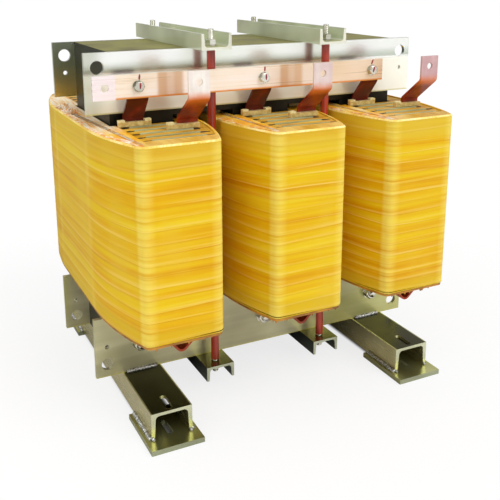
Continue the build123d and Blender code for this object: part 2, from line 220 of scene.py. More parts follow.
def mottled(name, scale, stops, rough, depth, strength, detail=3, **shine):
    """A plain look: one noise tints it, varies its roughness and raises it."""
    look = Look(name, **shine)
    field = look.noise(scale, detail=detail)
    return look.finish(look.ramp(field, *stops), (field, *rough), field, depth, strength)


def rolled_finish(look, tint, streak, rough):
    """A rolled sheet: its tint, rougher along the grain, and a slight orange peel."""
    return look.finish(tint, (streak, *rough), look.noise((500, 500, 500), detail=3), 0.1 * MM, 0.5)


def zinc(name, shades, metallic=1.0, rough=(0.12, 0.26), top=None, cut=None, flank=None, edged=(), crest=None):
    """Zinc-plated sheet or section, cloudy and with a rolling grain.

    shades are the dark, the plain and the bright tint; top, cut and flank are the tints of the faces that look
    up, to the front or rear, and sideways, painted light and shade for how those faces catch the light. The
    upward faces of the nodes in edged have painted pale highlights on their edges along their length, and the
    faces on top of the node crest are painted almost white as a highlight."""
    look = Look(name, metallic=metallic)
    cloud = look.noise((7, 7, 7), detail=2)
    streak = look.noise((4, 4, 60), detail=4)
    tint = look.ramp(look.mix(0.4, cloud, streak), *zip((0.3, 0.5, 0.7), shades))
    shade = look.ramp(cloud, (0.3, (0.8, 0.8, 0.78)), (0.7, (1.0, 1.0, 1.0)))
    normal = look.facing()
    # Painted light and shade: faces turned up, to the front or rear, or sideways each take their own tint.
    for direction, own in zip(normal, (flank, cut, top)):
        if own:
            turned = look.span(look.size(direction), 0.6, 0.9)
            tint = look.mix(turned, tint, look.mix(1.0, shade, own, "MULTIPLY"))
    x, _, z = look.axes()
    upward = look.span(normal[2], 0.5, 0.9)
    # Painted highlight: the faces on top of the crest node are laid over almost white.
    if crest:
        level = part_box(crest)[1].z
        tint = look.over(tint, (1.0, 1.0, 0.96), look.span(z, level - 1.2 * MM, level - 0.4 * MM), upward)
    # Painted highlights: pale stripes along both long edges of the upward faces of these nodes.
    for node in edged:
        lowest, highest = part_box(node)
        middle, half = (lowest.x + highest.x) / 2, (highest.x - lowest.x) / 2
        off = look.size(look.minus(x, middle))
        edge = look.span(off, half - 3.5 * MM, half - 1 * MM)
        near = look.span(off, half + 10 * MM, half + 5 * MM)
        tint = look.over(tint, shades[2], edge, near, upward, 0.8)
    return rolled_finish(look, tint, streak, rough)


def clamp_zinc(name, shades, reflection_tint, plate, metallic, rough, bar=None):
    """A bright clamp plate: cloudy, with wide soft painted reflections and a painted yellow highlight along its
    bottom edge.

    With bar given the front plate has a painted dull grey-green reflection just above that bar and at its
    left end, and a painted white highlight under the bar; the inner face of the rear plate takes a
    painted golden reflection of the coils towards its foot."""
    look = Look(name, metallic=metallic)
    lowest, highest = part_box(plate)
    cloud = look.noise((6, 6, 9), detail=2)
    streak = look.noise((3, 3, 60), detail=4)
    reflection_patch = look.noise((5, 1, 3), detail=1)
    tint = look.ramp(look.mix(0.3, cloud, streak), *zip((0.3, 0.5, 0.7), shades))
    # Painted reflections: wide soft patches of a paler tint.
    tint = look.over(tint, reflection_tint, look.span(reflection_patch, 0.5, 0.62), 0.5)
    x, y, z = look.axes()
    if bar:
        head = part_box(bar)[1].z
        fore = look.span(y, 0.0, -0.05)
        above = look.times(look.span(z, head - 1 * MM, head), look.span(z, head + 22 * MM, head + 2 * MM))
        under = look.times(fore, look.span(z, head - 2 * MM, head - 6 * MM))
        end = look.span(x, lowest.x + 45 * MM, lowest.x + 12 * MM)
        # Painted reflections: dull grey-green above the bar and at the plate's left end, white under the bar,
        # where the plate is also less metallic.
        tint = look.over(tint, (0.64, 0.69, 0.60), fore, above, 0.6)
        tint = look.over(tint, (1.0, 1.0, 0.95), under)
        tint = look.over(tint, (0.66, 0.68, 0.58), fore, end, 0.55)
        dull = look.times(under, metallic - 0.2)
        look.put(look.shader.inputs["Metallic"], look.minus(metallic, dull))
        _, ny, _ = look.facing()
        # Painted reflection: the gold of the coils on the inner face of the rear plate, strongest at its foot.
        inner = look.times(look.span(y, 0.09, 0.1), look.span(ny, -0.3, -0.7))
        coil_reflection = look.ramp(
            look.times(look.minus(z, lowest.z), 1 / (highest.z - lowest.z)),
            (0.0, (0.98, 0.80, 0.26)), (0.3, (0.74, 0.66, 0.34)), (0.6, (0.58, 0.60, 0.42)),
            (1.0, (0.62, 0.66, 0.54)),
        )
        tint = look.over(tint, coil_reflection, inner, 0.9)
    # Painted highlight: a yellow line along the bottom edge of each clamp plate.
    tint = look.over(tint, (0.80, 0.77, 0.42), look.span(z, lowest.z + 4 * MM, lowest.z + 1 * MM), 0.7)
    return rolled_finish(look, tint, streak, rough)


def resin_tape():
    """Varnished glass tape: soft bands that follow the turns, pale laps, painted highlights on the corners and
    thick ends.
    """
    look = Look("resin_tape", coat=0.03, specular=0.14)
    lowest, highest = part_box("coil_wrap_middle")
    gone, turn, _ = look.axes(look.place.outputs["UV"])
    x, y, z = look.axes()
    across = look.math("FRACT", turn)
    own = look.chance(look.math("FLOOR", turn))
    along = look.join(look.plus(gone, look.times(own, 37.0)), turn, 0.0)
    soft = look.noise((1.6, 0.8, 1.0), detail=2, vector=look.join(gone, turn, 0.0))
    streak = look.noise((2.4, 2.6, 1.0), detail=4, roughness=0.6, vector=along)
    fibre = look.noise((5.0, 22.0, 1.0), detail=3, vector=along)
    cloud = look.noise((9, 9, 4), detail=2)
    level = look.plus(look.times(soft, 0.45), look.times(streak, 0.35))
    level = look.plus(level, look.times(own, 0.12))
    level = look.plus(level, look.times(cloud, 0.14))
    body = look.ramp(
        level,
        (0.34, (0.80, 0.54, 0.00)), (0.46, (0.86, 0.65, 0.01)), (0.58, (0.88, 0.73, 0.06)),
        (0.72, (0.90, 0.79, 0.16)),
    )
    body = look.over(body, (0.87, 0.71, 0.20), look.span(cloud, 0.5, 0.68), 0.5)
    body = look.over(body, (0.90, 0.76, 0.36), look.span(fibre, 0.55, 0.8), 0.3)
    lap, seam = look.span(across, 0.5, 0.08), look.span(across, 0.86, 0.99)
    body = look.over(body, (0.92, 0.78, 0.42), lap, look.span(streak, 0.42, 0.6), 0.5)
    body = look.over(body, (0.78, 0.50, 0.03), seam, look.span(fibre, 0.4, 0.6), 0.3)
    wavering = look.plus(z, look.times(look.noise((5, 5, 2), detail=1), 30 * MM))
    thick_top = look.span(wavering, highest.z - 35 * MM, highest.z - 12 * MM)
    thick_foot = look.span(wavering, lowest.z + 55 * MM, lowest.z + 35 * MM)
    body = look.over(body, (0.83, 0.70, 0.22), thick_top, 0.55)
    body = look.over(body, (0.80, 0.66, 0.12), thick_foot, 0.55)
    coil = look.math("FRACT", look.plus(look.times(x, 1 / COIL_PITCH), 0.5))
    off_x = look.size(look.times(look.minus(coil, 0.5), COIL_PITCH))
    off_y = look.size(y)
    # Painted highlight: a pale soft patch on each rounded front corner.
    along_face = look.math("DIVIDE", look.minus(off_x, CORNER_X), 30 * MM)
    along_flank = look.math("DIVIDE", look.minus(off_y, CORNER_Y), 14 * MM)
    squares = look.plus(look.math("POWER", along_face, 2.0), look.math("POWER", along_flank, 2.0))
    corner = look.span(squares, 1.0, 0.05)
    body = look.over(body, (0.93, 0.85, 0.40), corner, look.span(streak, 0.2, 0.6), 0.6)
    rising = look.span(off_y, FLAT_Y - 16 * MM, FLAT_Y)
    crease = look.times(rising, look.span(off_y, FLAT_Y + 20 * MM, FLAT_Y + 2 * MM))
    body = look.over(body, (0.93, 0.82, 0.40), crease, look.span(cloud, 0.35, 0.6), 0.45)
    body = look.over(body, (0.88, 0.76, 0.26), look.span(off_y, FLAT_Y + 2 * MM, FLAT_Y - 8 * MM), 0.3)
    return look.finish(body, (streak, 0.38, 0.55), fibre, 0.3 * MM, 0.4)


def tape_shoulder():
    """The turned-in end of a coil: orange varnish on the flanks, peeled plies at the left, tan tape in front;
    the rear of the left end is paler, in part from its dry plies and in part as painted light where the upper
    front clamp's shadow falls.
    """
    look = Look("tape_shoulder", coat=0.15, specular=0.3)
    ply = look.noise((60, 18, 20), detail=5, roughness=0.65)
    pool = look.noise((14, 14, 14), detail=2)
    flank = look.ramp(
        look.mix(0.4, ply, pool),
        (0.32, (0.90, 0.58, 0.02)), (0.46, (0.96, 0.68, 0.10)), (0.56, (0.97, 0.80, 0.34)),
        (0.66, (0.99, 0.92, 0.74)),
    )
    face = look.ramp(ply, (0.36, (0.80, 0.58, 0.12)), (0.62, (0.90, 0.74, 0.34)))
    _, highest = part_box("coil_wrap_middle")
    x, y, _ = look.axes()
    strand = look.noise((230, 18, 20), detail=4, roughness=0.65)
    dry_and_lit = look.ramp(strand, (0.34, (0.95, 0.62, 0.24)), (0.45, (0.99, 0.84, 0.58)), (0.56, (1.0, 0.96, 0.88)))
    ragged = look.plus(y, look.times(pool, 60 * MM))
    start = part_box("coil_wrap_left")[0].x
    left = look.span(x, start + 75 * MM, start + 60 * MM)
    # Partly painted light: the rear of the left end is pale, for its dry plies and for the clamp's shadow there.
    peeled_and_lit = look.times(left, look.span(ragged, -170 * MM, -110 * MM))
    fore = look.span(look.size(y), 0.82 * highest.y, 0.92 * highest.y)
    tint = look.mix(fore, look.over(flank, dry_and_lit, peeled_and_lit, 0.9), face)
    return look.finish(tint, (ply, 0.22, 0.5), ply, 1.2 * MM, 0.7)


def tape_rim():
    """The rolled edge of the wrap, where the plies end in pale threads; its pale cream is in part a painted
    highlight along the rounded edge.
    """
    look = Look("tape_rim", coat=0.1, specular=0.3)
    thread = look.noise((260, 260, 90), detail=4, roughness=0.7)
    run = look.noise((20, 20, 20), detail=2)
    # Partly a painted highlight: the whole rounded rim is pale cream, besides its threads.
    body = look.ramp(
        look.mix(0.5, thread, run),
        (0.36, (0.90, 0.70, 0.20)), (0.5, (0.97, 0.85, 0.44)), (0.64, (0.99, 0.94, 0.70)),
    )
    return look.finish(body, (thread, 0.3, 0.55), thread, 1 * MM, 0.6)


def winding_layers():
    """Ends of the wound layers: tan board, amber varnish and fine plies running across; painted shade below,
    near black on the sideways walls under the top.
    """
    look = Look("winding_layers", coat=0.1, specular=0.3)
    ply = look.noise((5, 230, 5), detail=4, roughness=0.6)
    pool = look.noise((22, 30, 20), detail=3)
    body = look.ramp(
        look.mix(0.35, ply, pool),
        (0.34, (0.52, 0.34, 0.02)), (0.46, (0.78, 0.56, 0.06)), (0.56, (0.88, 0.67, 0.14)),
        (0.68, (0.90, 0.78, 0.34)),
    )
    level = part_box("inner_winding_middle")[1].z
    _, _, z = look.axes()
    _, _, up = look.facing()
    # Painted shade: walls that face sideways, just below the top of the winding, are near black.
    deep = look.span(z, level - 0.1 * MM, level - 0.8 * MM)
    body = look.over(body, (0.06, 0.06, 0.07), deep, look.span(up, 0.5, 0.2))
    return look.finish(body, (pool, 0.25, 0.6), ply, 0.8 * MM, 0.7)


def board(name, dark, light):
    """Pressed insulating board with a faint fibre."""
    look = Look(name)
    fibre = look.noise((12, 12, 90), detail=4)
    stain = look.noise((18, 18, 18), detail=2)
    tint = look.ramp(look.mix(0.5, fibre, stain), (0.35, dark), (0.65, light))
    return look.finish(tint, (fibre, 0.5, 0.75), fibre, 0.4 * MM, 0.5)


def saddle_board():
    """Tan board under lumpy cream pads, which stand above the low part of a saddle."""
    look = Look("saddle_board", coat=0.1)
    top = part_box("lead_saddles")[1].z
    _, _, z = look.axes()
    lump = look.noise((130, 130, 130), detail=3)
    tan = look.ramp(lump, (0.35, (0.78, 0.65, 0.34)), (0.65, (0.90, 0.80, 0.52)))
    cream = look.ramp(lump, (0.35, (0.90, 0.82, 0.54)), (0.65, (0.98, 0.94, 0.74)))
    height = look.plus(z, look.times(lump, 3 * MM))
    tint = look.mix(look.span(height, top - 3.5 * MM, top - 1 * MM), tan, cream)
    return look.finish(tint, (lump, 0.4, 0.65), lump, 1.5 * MM, 0.8)


def lacquered_copper():
    """Red-brown insulating lacquer over copper, thin and runny in places, and painted brighter low down for
    light bounced from the floor.
    """
    look = Look("lacquered_copper", coat=0.12, specular=0.3)
    run = look.noise((30, 30, 12), detail=4)
    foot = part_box("neutral_bar")[0].z
    _, _, z = look.axes()
    stops = (0.3, (0.24, 0.03, 0.0)), (0.55, (0.36, 0.06, 0.0)), (0.75, (0.56, 0.15, 0.03))
    deep = look.ramp(run, *stops)
    bright = look.ramp(run, (0.3, (0.52, 0.15, 0.03)), (0.75, (0.74, 0.28, 0.10)))
    # Painted light: the low parts, near the floor, take the brighter red-brown.
    tint = look.mix(look.span(z, 0.5 * foot, 0.25 * foot), deep, bright)
    return look.finish(tint, (run, 0.28, 0.5), look.noise((160, 160, 160)), 0.3 * MM, 0.4)


def terminal_copper():
    """Bare rosy pad above, red-brown lacquer on the leg below, with a heat tint between the two."""
    look = Look("terminal_copper", metallic=0.2, coat=0.1, specular=0.4)
    lowest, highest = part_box("phase_terminal_left")
    _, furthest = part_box("phase_terminal_right")
    bend = lowest.z + 0.64 * (highest.z - lowest.z)
    x, _, z = look.axes()
    grain = look.noise((90, 90, 12), detail=4)
    cloud = look.noise((40, 40, 40), detail=2)
    mottled = look.mix(0.5, grain, cloud)
    rosy = look.ramp(mottled, (0.35, (0.76, 0.60, 0.61)), (0.65, (0.82, 0.68, 0.68)))
    pale = look.ramp(mottled, (0.35, (0.90, 0.85, 0.82)), (0.65, (0.96, 0.94, 0.91)))
    pad = look.mix(look.span(x, lowest.x, furthest.x), pale, rosy)
    leg = look.ramp(cloud, (0.35, (0.44, 0.10, 0.0)), (0.7, (0.64, 0.20, 0.02)))
    ragged = look.plus(z, look.times(cloud, 10 * MM))
    heat = look.over(leg, (0.84, 0.44, 0.16), look.span(ragged, bend - 12 * MM, bend + 6 * MM))
    tint = look.mix(look.span(ragged, bend + 2 * MM, bend + 22 * MM), heat, pad)
    return look.finish(tint, (grain, 0.25, 0.45), grain, 0.3 * MM, 0.3)


def bar_copper():
    """Pale lacquered copper of the neutral bar, gold along its bottom edge, with a painted tan reflection beside
    each bolt.
    """
    look = Look("bar_copper", metallic=0.25, coat=0.2, specular=0.4)
    lowest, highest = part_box("neutral_bar")
    x, _, z = look.axes()
    brushed = look.noise((3, 60, 220), detail=1)
    cloud = look.noise((9, 9, 9), detail=2)
    body = look.ramp(
        look.mix(0.65, brushed, cloud),
        (0.35, (0.92, 0.83, 0.72)), (0.5, (0.97, 0.91, 0.84)), (0.66, (0.99, 0.95, 0.92)),
    )
    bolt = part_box("bar_bolts")[0].x
    # Painted reflections: a soft tan band to the right of each bolt, lighter in its middle.
    past = look.math("FRACT", look.times(look.minus(x, bolt), 1 / COIL_PITCH))
    band = look.times(look.span(past, 0.17, 0.20), look.span(past, 0.40, 0.36))
    lighter = look.times(look.span(past, 0.24, 0.27), look.span(past, 0.33, 0.29))
    band = look.minus(band, look.times(lighter, 0.4))
    body = look.over(body, (0.84, 0.68, 0.52), band, 0.85)
    body = look.over(body, (0.88, 0.72, 0.52), look.span(x, lowest.x + 200 * MM, highest.x), 0.45)
    body = look.over(body, (0.86, 0.52, 0.08), look.span(z, lowest.z + 5 * MM, lowest.z + 1 * MM))
    uneven = look.plus(x, look.times(cloud, 4 * MM))
    bare = look.mix(brushed, (0.93, 0.87, 0.87), (0.98, 0.94, 0.95))
    body = look.over(body, bare, look.span(uneven, lowest.x + 45 * MM, lowest.x + 41 * MM))
    return look.finish(body, (brushed, 0.2, 0.4), brushed, 0.1 * MM, 0.2)


def core_steel():
    """Edges of stacked silicon-steel sheets: fine lines along the stack, near black at the sides."""
    look = Look("core_steel", metallic=0.6)
    sheets = look.noise((3, 1400, 3), detail=2)
    bundle = look.noise((2, 120, 2), detail=3)
    stain = look.noise((10, 10, 10), detail=3)
    lines = look.mix(0.5, sheets, bundle)
    body = look.ramp(lines, (0.35, (0.32, 0.30, 0.10)), (0.65, (0.62, 0.60, 0.26)))
    stained = look.ramp(stain, (0.36, (0.34, 0.30, 0.12)), (0.6, (0.64, 0.62, 0.30)))
    body = look.mix(0.5, body, stained)
    _, _, up = look.facing()
    side = look.mix(stain, (0.08, 0.08, 0.07), (0.22, 0.22, 0.18))
    body = look.over(body, side, look.span(up, 0.7, 0.4))
    return look.finish(body, (stain, 0.3, 0.5), sheets, 0.4 * MM, 0.6)


def sleeve_red():
    """Hard red-brown insulating tube."""
    look = Look("sleeve_red", coat=0.35)
    stain = look.noise((60, 60, 14), detail=3)
    tint = look.ramp(stain, (0.3, (0.48, 0.10, 0.03)), (0.7, (0.70, 0.20, 0.08)))
    return look.finish(tint, (stain, 0.25, 0.4), look.noise((500, 500, 500)), 0.2 * MM, 0.4)


WELD_TINTS = (0.32, (0.34, 0.34, 0.32)), (0.5, (0.72, 0.72, 0.70)), (0.68, (0.96, 0.96, 0.96))
BOARD_TINTS = (0.35, (0.50, 0.31, 0.01)), (0.65, (0.74, 0.50, 0.05))
THREAD_TINTS = (0.38, (0.94, 0.62, 0.22)), (0.5, (0.97, 0.82, 0.60)), (0.6, (0.99, 0.94, 0.88))
DUCT_SHADE_TINTS = (0.3, (0.03, 0.05, 0.09)), (0.7, (0.10, 0.13, 0.19))
SLOT_LOOKS = (
    core_steel(),
    clamp_zinc(
        "upper_clamp_zinc", ((0.91, 0.94, 0.90), (0.97, 0.98, 0.96), (1.0, 1.0, 1.0)),
        reflection_tint=(0.94, 0.96, 0.90), plate="upper_clamp_front", metallic=0.8, rough=(0.16, 0.28),
        bar="neutral_bar",
    ),
    clamp_zinc(
        "lower_clamp_zinc", ((0.62, 0.60, 0.48), (0.74, 0.72, 0.57), (0.86, 0.84, 0.70)),
        reflection_tint=(0.80, 0.80, 0.42), plate="lower_clamp_front", metallic=0.5, rough=(0.26, 0.42),
    ),
    # The top, cut and flank tints of these two are painted light and shade; the dark top of the feet is painted
    # shade.
    zinc(
        "channel_zinc", ((0.62, 0.65, 0.52), (0.74, 0.77, 0.64), (0.90, 0.91, 0.78)), metallic=0.3,
        top=(0.84, 0.84, 0.62), cut=(0.98, 0.98, 0.92), flank=(0.86, 0.89, 0.77),
        crest="upper_tie_channel_left",
    ),
    zinc(
        "foot_zinc", ((0.56, 0.54, 0.34), (0.70, 0.68, 0.46), (0.86, 0.84, 0.64)), metallic=0.9,
        rough=(0.2, 0.36), top=(0.25, 0.24, 0.08), cut=(0.88, 0.89, 0.76), flank=(0.84, 0.80, 0.60),
        edged=("foot_channel_left", "foot_channel_right"),
    ),
    zinc("fastener_zinc", ((0.66, 0.65, 0.58), (0.86, 0.85, 0.80), (0.97, 0.97, 0.94)), rough=(0.15, 0.3)),
    mottled("weld_metal", (300, 300, 300), WELD_TINTS, (0.2, 0.5), 1 * MM, 0.8, metallic=0.8),
    sleeve_red(),
    winding_layers(),
    resin_tape(),
    mottled("end_board", (30, 30, 60), BOARD_TINTS, (0.3, 0.55), 0.8 * MM, 0.6, coat=0.15),
    board("duct_board", (0.56, 0.58, 0.42), (0.76, 0.78, 0.62)),
    lacquered_copper(),
    board("cream_insulation", (0.74, 0.70, 0.44), (0.90, 0.87, 0.66)),
)
LOOKS = {material.name.split(".")[0]: material for material in SLOT_LOOKS}
LOOKS["copper"] = terminal_copper()
# The top, cut and flank tints of these two are painted light and shade; the dark flanks of the low channels are
# painted shade.
LOW_CHANNEL = zinc(
    "low_channel_zinc", ((0.40, 0.42, 0.34), (0.54, 0.55, 0.44), (0.70, 0.70, 0.56)),
    top=(0.62, 0.62, 0.42), cut=(0.86, 0.88, 0.78), flank=(0.34, 0.36, 0.32),
)
BASE_PLATE = zinc(
    "base_plate_zinc", ((0.52, 0.51, 0.28), (0.68, 0.67, 0.42), (0.84, 0.84, 0.62)), metallic=0.9,
    rough=(0.2, 0.36), cut=(0.70, 0.72, 0.60), flank=(0.62, 0.62, 0.44),
)
SHOULDER = tape_shoulder()
TAPE_RIM = tape_rim()
THREAD = mottled("loose_thread", (70, 70, 70), THREAD_TINTS, (0.4, 0.7), 0.2 * MM, 0.4, specular=0.3)
# Painted shade: a near black look for the discs over the open ends of the ducts.
DUCT_SHADE_LOOK = mottled("duct_mouth", (200, 200, 200), DUCT_SHADE_TINTS, (0.4, 0.6), 0.2 * MM, 0.3, 2, specular=0.2)
OWN_LOOKS = {"neutral_bar": bar_copper(), "lead_saddles": saddle_board()}
OWN_LOOKS.update({name: LOW_CHANNEL for name in nodes if name.startswith("lower_tie_channel")})
OWN_LOOKS.update({name: BASE_PLATE for name in nodes if name.startswith("base_plate")})

for name, node in nodes.items():
    slot_name = node.data.materials[0].name.split(".")[0]
    node.data.materials.clear()
    node.data.materials.append(OWN_LOOKS.get(name, LOOKS[slot_name]))


# ---- added geometry -------------------------------------------------------------------
def mesh_piece(name, points, faces, materials, face_slots=None, smooth=True):
    mesh = bpy.data.meshes.new(name)
    mesh.from_pydata(points, [], faces)
    for material in materials:
        mesh.materials.append(material)
    if face_slots:
        mesh.polygons.foreach_set("material_index", face_slots)
    mesh.polygons.foreach_set("use_smooth", [smooth] * len(mesh.polygons))
    mesh.update()
    piece = bpy.data.objects.new(name, mesh)
    bpy.context.scene.collection.objects.link(piece)
    return piece


def plan_hull(node):
    """The outline of a node seen from above, anticlockwise, as the convex hull of its points."""
    points = sorted({(round(v.co.x, 6), round(v.co.y, 6)) for v in node.data.vertices})

    def half(run):
        chain = []
        for p in run:
            while len(chain) > 1 and turn_of(chain[-2], chain[-1], p) <= 1e-9:
                chain.pop()
            chain.append(p)
        return chain[:-1]

    return half(points) + half(points[::-1])


def turn_of(a, b, c):
    return (b[0] - a[0]) * (c[1] - a[1]) - (b[1] - a[1]) * (c[0] - a[0])


def walk(loop, step):
    """Equal steps round a closed plan from its rear, each as (distance, point, outward direction)."""
    sides = [(Vector(a), Vector(b)) for a, b in zip(loop, loop[1:] + loop[:1])]
    total = sum((b - a).length for a, b in sides)
    count = round(total / step)
    marks, gone, index = [], 0.0, 0
    for i in range(count):
        wanted = total * i / count
        while gone + (sides[index][1] - sides[index][0]).length < wanted:
            gone += (sides[index][1] - sides[index][0]).length
            index += 1
        a, b = sides[index]
        marks.append((wanted, a + (b - a).normalized() * (wanted - gone)))
    spots = [m[1] for m in marks]
    walked = []
    for i, (distance, spot) in enumerate(marks):
        ahead = spots[(i + 1) % count] - spots[i - 1]
        walked.append((distance, spot, Vector((ahead.y, -ahead.x)).normalized()))
    return walked, total


TAPE_PITCH = 21 * MM
TAPE_STEP = 0.22 * MM
TAPE_RADIUS = 4 * MM
ACROSS = (0.0, 0.05, 0.35, 0.7, 0.97)
WAVES = (1, 2, 3, 4)
WAVER = 0.09
NEAR_WALL = 14 * MM
WALL, TURNED_IN, ROLLED = 0, 1, 2
TURNS_APART = 40
CLOSE = 1e-6


def tape_edges(seed, turns, total, bottom, top):
    """A function for the height of the lap under each turn: a helix with a hand-laid waver."""
    chance = random.Random(seed)
    pitch = (top - bottom) / turns
    waves = [[(chance.uniform(-1, 1), chance.uniform(0, math.tau)) for _ in WAVES] for _ in range(turns + 2)]

    def edge(k, distance):
        gone = distance / total
        waver = sum(size * math.sin(math.tau * n * gone + phase) for n, (size, phase) in zip(WAVES, waves[k]))
        return min(max(bottom + (k + gone - 0.5 + WAVER * waver) * pitch, bottom), top)

    return edge


def tape_wall(walked, edge, turns, bottom, top):
    """Points and faces of a coil's lapped wall, and the (distance, turn) place of each point."""
    points, places, faces = [], [], []
    for distance, spot, outward in walked:
        for k in range(turns + 1):
            low, high = edge(k, distance), edge(k + 1, distance)
            for part in ACROSS:
                height = low + part * (high - low)
                sunk = TAPE_STEP * part if bottom + CLOSE < height < top - CLOSE else 0.0
                place = spot - outward * sunk
                points.append((place.x, place.y, height))
                places.append((distance, k + part))
    depth = len(points) // len(walked)
    for i in range(len(walked)):
        here, there = i * depth, (i + 1) % len(walked) * depth
        faces += [(here + r, there + r, there + r + 1, here + r + 1) for r in range(depth - 1)]
    return points, faces, places


def taped_skin(coil, seed):
    """The taped wall of a coil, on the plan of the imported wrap; the turned-in ends are the wrap's own."""
    wrap = nodes[f"coil_wrap_{coil}"]
    lowest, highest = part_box(f"coil_wrap_{coil}")
    centre = Vector(((lowest.x + highest.x) / 2, 0))
    loop = plan_hull(wrap)
    rear = max(range(len(loop)), key=lambda i: (loop[i][1], loop[i][0]))
    walked, total = walk(loop[rear:] + loop[:rear], 6 * MM)
    bottom, top = lowest.z + TAPE_RADIUS, highest.z - TAPE_RADIUS
    turns = round((top - bottom) / TAPE_PITCH)
    edge = tape_edges(seed, turns, total, bottom, top)
    points, faces, places = tape_wall(walked, edge, turns, bottom, top)
    wall_points, wall_faces = len(points), len(faces)
    slots = [WALL] * wall_faces
    points += [tuple(v.co) for v in wrap.data.vertices]
    for polygon in wrap.data.polygons:
        normal, spot, height = polygon.normal, Vector(polygon.center[:2]), polygon.center.z
        side = abs(normal.z) < 0.05 and bottom - CLOSE < height < top + CLOSE
        outer = side and min((spot - w[1]).length for w in walked[::4]) < NEAR_WALL
        if outer and Vector(normal[:2]).dot(spot - centre) > 0:
            continue
        faces.append(tuple(wall_points + v for v in polygon.vertices))
        if height > top and 0.1 < normal.z < 0.97:
            slots.append(ROLLED)
        else:
            slots.append(TURNED_IN if height > top and normal.z > 0.3 else WALL)
    skin = mesh_piece(f"taped_skin_{coil}", points, faces, [LOOKS["resin_tape"], SHOULDER, TAPE_RIM], slots)
    layer = skin.data.uv_layers.new(name="turns")
    for index, corner in enumerate(skin.data.loops):
        if corner.vertex_index < wall_points:
            distance, turn = places[corner.vertex_index]
        else:
            x, y, z = skin.data.vertices[corner.vertex_index].co
            distance, turn = x + y, turns + 1.5 if z > top - 0.1 * MM else 0.5
        layer.data[index].uv = (distance, turn + TURNS_APART * seed)
    for polygon in skin.data.polygons[:wall_faces]:
        spots = [layer.data[i].uv for i in polygon.loop_indices]
        if max(spot[0] for spot in spots) - min(spot[0] for spot in spots) > total / 2:
            for spot in spots:
                if spot[0] < total / 2:
                    spot[0] += total
    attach(skin, "root")
    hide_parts(f"coil_wrap_{coil}")


for seed, coil in enumerate(COILS, 1):
    taped_skin(coil, seed)


class Shape:
    """Points and faces gathered for one piece."""

    def __init__(self):
        self.points, self.faces = [], []

    def rings(self, rings, closed_start=True, closed_end=True):
        """A skin over rings of equal length, with fans over its ends."""
        first, sides = len(self.points), len(rings[0])
        for ring in rings:
            self.points += [tuple(p) for p in ring]
        for r in range(len(rings) - 1):
            for i in range(sides):
                j = (i + 1) % sides
                a, b = first + r * sides, first + (r + 1) * sides
                self.faces.append((a + i, a + j, b + j, b + i))
        last = first + (len(rings) - 1) * sides
        ends = (closed_start, rings[0], first, -1), (closed_end, rings[-1], last, 1)
        for closed, ring, start, order in ends:
            if closed:
                self.points.append(tuple(sum((Vector(p) for p in ring), Vector()) / sides))
                for i in range(sides):
                    pair = (start + i, start + (i + 1) % sides)[::order]
                    self.faces.append((*pair, len(self.points) - 1))

    def piece(self, name, material, replaced=None, smooth=True, slot=None):
        made = mesh_piece(name, self.points, self.faces, [material], smooth=smooth)
        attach(made, "root")
        if replaced:
            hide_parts(replaced)

    def fastener(self, name, replaced, smooth=True):
        self.piece(name, LOOKS["fastener_zinc"], replaced, smooth, "fastener_zinc")


def around(sides):
    """The angles of equal steps round a circle."""
    return [math.tau * i / sides for i in range(sides)]


def oval(x, y, z, long, wide, sides):
    return [(x + long * math.cos(t), y + wide * math.sin(t), z) for t in around(sides)]


def bodies(name):
    """The corner points of each separate body of a node, in the order of its faces."""
    mesh = nodes[name].data
    keys = [tuple(round(c, 6) for c in v.co) for v in mesh.vertices]
    group = {key: key for key in keys}

    def top(key):
        while group[key] != key:
            group[key] = group[group[key]]
            key = group[key]
        return key

    for polygon in mesh.polygons:
        first = keys[polygon.vertices[0]]
        for v in polygon.vertices[1:]:
            group[top(keys[v])] = top(first)
    found = {}
    for key in group:
        found.setdefault(top(key), []).append(Vector(key))
    return [sorted(points, key=tuple) for points in found.values()]


def span_of(points):
    lowest = Vector(min(p[i] for p in points) for i in range(3))
    highest = Vector(max(p[i] for p in points) for i in range(3))
    return lowest, highest


def placed(centre, axis, ring):
    """A ring of (across, up, along) turned so that along runs with the axis; across stays on X."""
    if axis == "z":
        return [(centre.x + a, centre.y + b, centre.z + c) for a, b, c in ring]
    return [(centre.x + a, centre.y + c, centre.z - b) for a, b, c in ring]


HEX_SIDES = 36
HEX_FACE = 0.95
HOLE_LIP = 0.12
CHAMFER = math.tan(math.radians(30))


def hex_rings(flats, bottom, top, low_chamfer, high_chamfer, hole=0.0):
    """Rings of a hexagon with its corners chamfered on one or both ends."""
    inner = HEX_FACE * flats / 2
    turns = around(HEX_SIDES)
    outer = [flats / 2 / math.cos((t % (math.pi / 3)) - math.pi / 6) for t in turns]
    drops = [CHAMFER * max(0.0, r - inner) for r in outer]

    def ring(radii, heights):
        return [(r * math.cos(t), r * math.sin(t), height) for r, height, t in zip(radii, heights, turns)]

    def circle(radius, height):
        return ring([radius] * HEX_SIDES, [height] * HEX_SIDES)

    rings = [circle(inner, bottom)] if low_chamfer else []
    rings.append(ring(outer, [bottom + (drop if low_chamfer else 0.0) for drop in drops]))
    rings.append(ring(outer, [top - (drop if high_chamfer else 0.0) for drop in drops]))
    if high_chamfer:
        rings.append(circle(inner, top))
    if hole:
        lip = HOLE_LIP * hole
        foot = [circle(hole, bottom + lip), circle(hole + lip, bottom)]
        rings = foot + rings + [circle(hole + lip, top), circle(hole, top - lip)]
    return rings


